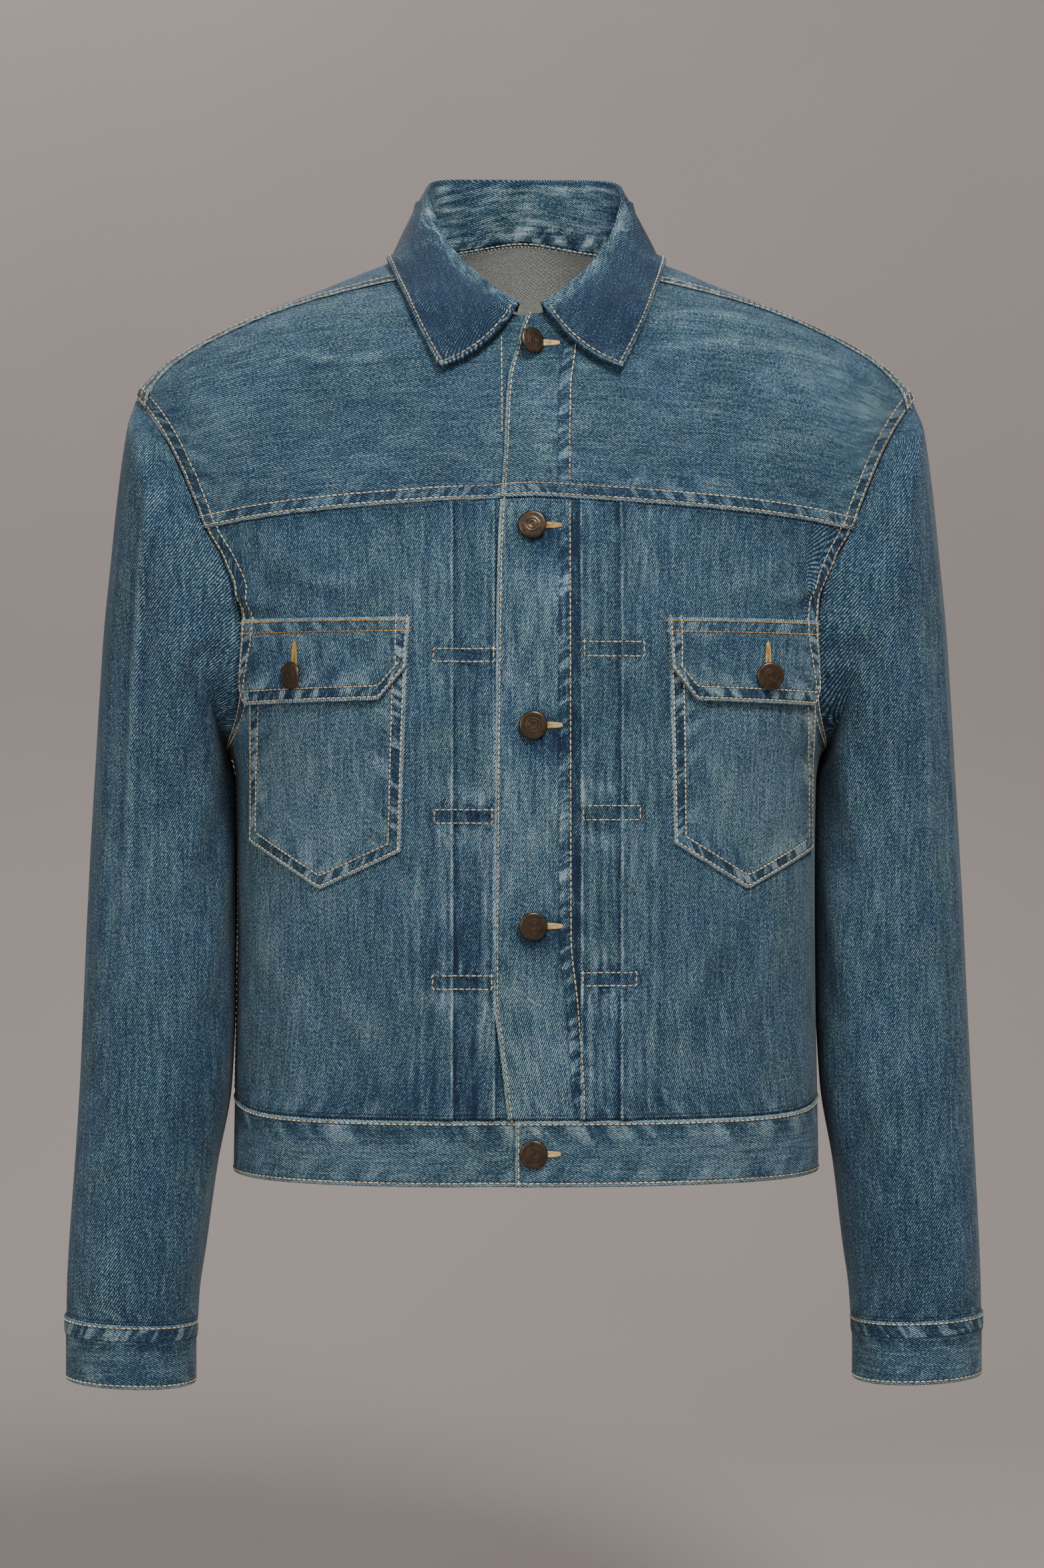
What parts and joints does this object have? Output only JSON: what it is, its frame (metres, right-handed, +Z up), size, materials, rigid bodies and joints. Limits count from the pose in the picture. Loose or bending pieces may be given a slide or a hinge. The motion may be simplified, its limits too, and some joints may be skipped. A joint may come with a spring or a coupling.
{
  "type": "denim jacket",
  "caption": "Waist-length denim jacket in its worn form, empty: folded collar, shoulder yokes, pleated fronts with flapped breast pockets, long sleeves with cuffs, and a waistband.",
  "frame": {"origin": "inside the neck, on the shoulder line, at the height where that line meets the collar", "axes": "+Z up along the body; the front faces -Y; the wearer's left side is +X"},
  "size_m": [0.6258, 0.2558, 0.841],
  "materials": {
    "denim": "washed twill, matt, with pale worn edges",
    "button_metal": "dark antique bronze"
  },
  "bodies": {
    "root": {"front_right": "denim", "front_left": "denim", "front_yoke_right": "denim", "front_yoke_left": "denim", "back_yoke": "denim", "back_panel": "denim", "sleeve_right": "denim", "sleeve_left": "denim", "cuff_right": "denim", "cuff_left": "denim", "waistband": "denim", "collar": "denim", "pocket_right": "denim", "pocket_left": "denim", "flap_right": "denim", "flap_left": "denim", "button_front_1": "button_metal", "button_front_2": "button_metal", "button_front_3": "button_metal", "button_front_4": "button_metal", "button_waistband": "button_metal", "button_flap_right": "button_metal", "button_flap_left": "button_metal", "button_cuff_right": "button_metal", "button_cuff_left": "button_metal"}
  },
  "joints": []
}
